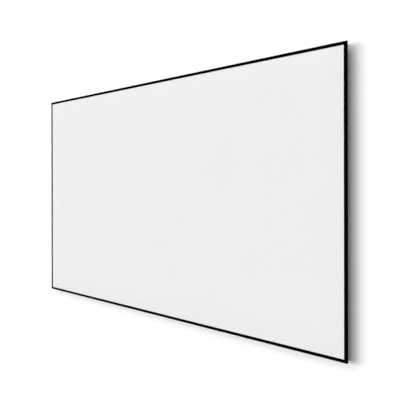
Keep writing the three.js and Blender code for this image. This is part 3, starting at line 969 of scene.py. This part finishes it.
def screw_mesh(name, length):
    """A socket head screw: its head stands on the plane y = 0, and its shank points to -Y."""
    bm = bmesh.new()
    rings = [
        round_ring(bm, SCREW_SHANK - SCREW_CHAMFER, -length),
        round_ring(bm, SCREW_SHANK, -length + SCREW_CHAMFER),
        round_ring(bm, SCREW_SHANK, 0.0),
        round_ring(bm, SCREW_HEAD - HEAD_CHAMFER, 0.0),
        round_ring(bm, SCREW_HEAD, HEAD_CHAMFER),
    ]
    for step in range(HEAD_STEPS + 1):
        angle = math.pi / 2 * step / HEAD_STEPS
        radius = SCREW_HEAD - HEAD_EDGE * (1 - math.cos(angle))
        height = SCREW_HEAD_HEIGHT - HEAD_EDGE * (1 - math.sin(angle))
        rings.append(round_ring(bm, radius, height))
    half = SCREW_SOCKET / 2
    floor = SCREW_HEAD_HEIGHT - SCREW_SOCKET_DEPTH
    rings += [
        hexagon_ring(bm, half + SOCKET_CHAMFER, SCREW_HEAD_HEIGHT),
        hexagon_ring(bm, half, SCREW_HEAD_HEIGHT - SOCKET_CHAMFER),
        hexagon_ring(bm, half, floor),
    ]
    for near, far in zip(rings, rings[1:]):
        for i in range(SCREW_SIDES):
            j = (i + 1) % SCREW_SIDES
            bm.faces.new((near[i], near[j], far[j], far[i]))
    bm.faces.new(rings[0])
    bottom = bm.verts.new((0.0, floor - SOCKET_POINT, 0.0))
    for i in range(SCREW_SIDES):
        bm.faces.new((rings[-1][i], rings[-1][(i + 1) % SCREW_SIDES], bottom))
    bmesh.ops.recalc_face_normals(bm, faces=bm.faces)
    return to_mesh(name, bm, SCREW_ANGLE, OXIDE)


def add_screw(node, mesh, turn):
    """Puts a screw where its node is. The turn brings +Y to the way its head points."""
    low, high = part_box(node)
    out = turn @ Vector((0.0, 1.0, 0.0))
    length = abs((high - low).dot(out))
    seat = (low + high) / 2 + out * (length / 2 - SCREW_HEAD_HEIGHT)
    place = Matrix.Translation(seat) @ turn.to_4x4()
    add_piece(f"{node}_finished", mesh, node, place)


def add_screws():
    plate_screw = screw_mesh("plate_screw", PLATE_SCREW_LENGTH)
    clip_screw = screw_mesh("clip_screw", CLIP_SCREW_LENGTH)
    down = Matrix.Rotation(-math.pi / 2, 3, "X")
    up = Matrix.Rotation(math.pi / 2, 3, "X")
    for node in sorted(frame["nodes"]):
        if node.startswith("clip_screw_top"):
            add_screw(node, clip_screw, down)
        elif node.startswith("clip_screw_bottom"):
            add_screw(node, clip_screw, up)
        elif node.startswith(("corner_screw_", "splice_screw_")):
            add_screw(node, plate_screw, Matrix.Identity(3))


# Room

FLOOR_DROP = 0.9
FLOOR_Z = CAD_LOW.z - FLOOR_DROP
ROOM = 14.0
WHITE = (1.0, 1.0, 1.0)

# How much the wall and the floor glow, for the camera alone
WALL_LIFT = 0.04
FLOOR_LIFT = 0.35

# A ray's depth is 1 at the first bounce from what the camera sees, and is compared within a margin
FIRST_BOUNCE = 1.0
DEPTH_MARGIN = 0.1


def room_plane(name, corners, material):
    mesh = bpy.data.meshes.new(name)
    mesh.from_pydata(corners, [], [(0, 1, 2, 3)])
    mesh.materials.append(material)
    plane = bpy.data.objects.new(name, mesh)
    bpy.context.scene.collection.objects.link(plane)
    plane.visible_glossy = False
    plane.visible_transmission = False


def room_material(name, lift):
    """White that keeps a shadow, and a little lifted, for the camera alone. It is clear from
    behind, and to the first ray of light from what the camera sees, so that it dims nothing.
    Later rays find it solid, so that no light leaks in from its other side, and black, which is
    painted shade: it sends back none of the bounce light that a white wall would, so the shadows
    beside and under the screen come out darker."""
    material = bpy.data.materials.new(name)
    material.use_nodes = True
    tree = material.node_tree
    nodes, links = tree.nodes, tree.links
    nodes.clear()
    output = nodes.new("ShaderNodeOutputMaterial")
    white = nodes.new("ShaderNodeBsdfDiffuse")
    glow = nodes.new("ShaderNodeEmission")
    lit = nodes.new("ShaderNodeAddShader")
    clear = nodes.new("ShaderNodeBsdfTransparent")
    surface = nodes.new("ShaderNodeMixShader")
    path = nodes.new("ShaderNodeLightPath")
    strength = nodes.new("ShaderNodeMath")
    strength.operation = "MULTIPLY"
    strength.inputs[1].default_value = lift
    first_ray = nodes.new("ShaderNodeMath")
    first_ray.operation = "COMPARE"
    first_ray.inputs[1].default_value = FIRST_BOUNCE
    first_ray.inputs[2].default_value = DEPTH_MARGIN
    behind = nodes.new("ShaderNodeNewGeometry").outputs["Backfacing"]
    links.new(path.outputs["Ray Depth"], first_ray.inputs[0])
    links.new(path.outputs["Is Camera Ray"], strength.inputs[0])
    # Painted shade: the diffuse is white to the camera but black to bounce rays, so the wall and
    # floor send back no bounce light and the shadows beside the screen are darker
    links.new(path.outputs["Is Camera Ray"], white.inputs["Color"])
    links.new(strength.outputs["Value"], glow.inputs["Strength"])
    links.new(white.outputs["BSDF"], lit.inputs[0])
    links.new(glow.outputs["Emission"], lit.inputs[1])
    unseen = combined(tree, "MAXIMUM", behind, first_ray.outputs["Value"])
    links.new(unseen, surface.inputs["Fac"])
    links.new(lit.outputs["Shader"], surface.inputs[1])
    links.new(clear.outputs["BSDF"], surface.inputs[2])
    links.new(surface.outputs["Shader"], output.inputs["Surface"])
    return material


def add_room():
    """A white wall that shows only from the front, and a pale floor."""
    square = ((-ROOM, -ROOM), (ROOM, -ROOM), (ROOM, ROOM), (-ROOM, ROOM))
    wall = [(x, 0.0, FLOOR_Z if far < 0 else ROOM) for x, far in square]
    floor = [(x, y, FLOOR_Z) for x, y in square]
    room_plane("white_wall", wall, room_material("wall_white", WALL_LIFT))
    room_plane("pale_floor", floor, room_material("floor_white", FLOOR_LIFT))


# Light

# A sky that is brighter above, rows of soft lamps far off in front and behind, and one high lamp
# in front. A lamp's aim is the slope of its ray across the wall and its rise. Together the front
# ones and the sky light a white wall white. The sky is a little blue, which shows only in shadow.

SKY_ABOVE = 0.50
SKY_BELOW = 0.08
SKY_COLOR = (0.955, 0.985, 1.06)
SKY_BLEND = 0.25
KEY_SLOPES = (-0.26, 0.12, 0.50, 0.88, 1.26)
REAR_SLOPES = (-0.9, 0.0, 0.9)
HIGH_SLOPE = 0.45
KEY_LEVEL = 0.60
HIGH_LEVEL = 0.11
REAR_LEVEL = 0.60
LOW_RISE = math.radians(6)
HIGH_RISE = math.radians(37)
LAMP_SPREAD = math.radians(20)
LAMP_DISTANCE = 5.0

# The sky's part of the light on a white wall, and the colour that the lamps need for the rest
SKY_SHARE = (SKY_ABOVE + SKY_BELOW) / 2
LAMP_COLOR = tuple((1.0 - SKY_SHARE * channel) / (1.0 - SKY_SHARE) for channel in SKY_COLOR)

# Which side of the wall a lamp is on, along y
IN_FRONT = -1
BEHIND = 1


def add_sky():
    world = bpy.data.worlds.new("studio")
    bpy.context.scene.world = world
    world.use_nodes = True
    nodes, links = world.node_tree.nodes, world.node_tree.links
    background = nodes["Background"]
    path = nodes.new("ShaderNodeLightPath")
    seen = path.outputs["Is Camera Ray"]
    for ray in ("Is Glossy Ray", "Is Transmission Ray"):
        seen = combined(world.node_tree, "MAXIMUM", seen, path.outputs[ray])
    direction = nodes.new("ShaderNodeSeparateXYZ")
    links.new(nodes.new("ShaderNodeTexCoord").outputs["Generated"], direction.inputs["Vector"])
    sky = nodes.new("ShaderNodeMapRange")
    sky.inputs["From Min"].default_value = -SKY_BLEND
    sky.inputs["From Max"].default_value = SKY_BLEND
    sky.inputs["To Min"].default_value = SKY_BELOW
    sky.inputs["To Max"].default_value = SKY_ABOVE
    links.new(direction.outputs["Z"], sky.inputs["Value"])
    level = nodes.new("ShaderNodeMix")
    links.new(seen, level.inputs["Factor"])
    links.new(sky.outputs["Result"], level.inputs["A"])
    level.inputs["B"].default_value = 1.0
    links.new(level.outputs["Result"], background.inputs["Strength"])
    color = color_mix(world.node_tree, seen, SKY_COLOR, WHITE)
    links.new(color, background.inputs["Color"])


def add_lamp(name, slope, rise, side, level):
    """A soft distant lamp, in front of the wall or behind it, that lights a white upright
    surface to the level."""
    turn = math.atan(slope)
    away = Vector((-math.sin(turn), side * math.cos(turn), math.tan(rise))).normalized()
    data = bpy.data.lights.new(name, "SUN")
    data.angle = LAMP_SPREAD
    data.energy = math.pi * level / abs(away.y)
    data.color = LAMP_COLOR
    lamp = bpy.data.objects.new(name, data)
    bpy.context.scene.collection.objects.link(lamp)
    lamp.location = away * LAMP_DISTANCE
    lamp.rotation_euler = away.to_track_quat("Z", "Y").to_euler()


def add_lights():
    add_sky()
    for i, slope in enumerate(KEY_SLOPES):
        add_lamp(f"key_lamp_{i + 1}", slope, LOW_RISE, IN_FRONT, KEY_LEVEL / len(KEY_SLOPES))
    add_lamp("high_lamp", HIGH_SLOPE, HIGH_RISE, IN_FRONT, HIGH_LEVEL)
    for i, slope in enumerate(REAR_SLOPES):
        add_lamp(f"rear_lamp_{i + 1}", slope, LOW_RISE, BEHIND, REAR_LEVEL / len(REAR_SLOPES))


# Camera: its place, turn and lens come from the screen's corners in the photograph

CAMERA_PLACE = (2.1972, -1.9599, -0.4916)
CAMERA_YAW = math.radians(44.600)
CAMERA_ROLL = math.radians(0.088)
CAMERA_LENS = 48.497
CAMERA_SHIFT = -0.0350
CAMERA_SENSOR = 36.0


def add_camera():
    data = bpy.data.cameras.new("camera")
    data.lens = CAMERA_LENS
    data.sensor_width = CAMERA_SENSOR
    data.shift_y = CAMERA_SHIFT
    camera = bpy.data.objects.new("camera", data)
    camera.location = CAMERA_PLACE
    camera.rotation_euler = (math.pi / 2, CAMERA_ROLL, CAMERA_YAW)
    bpy.context.scene.collection.objects.link(camera)
    bpy.context.scene.camera = camera


add_camera()
add_rigid_pieces()
add_bezels()
add_fabric()
add_rods_and_springs()
add_screws()
add_room()
add_lights()
bpy.context.scene.view_settings.view_transform = "Standard"
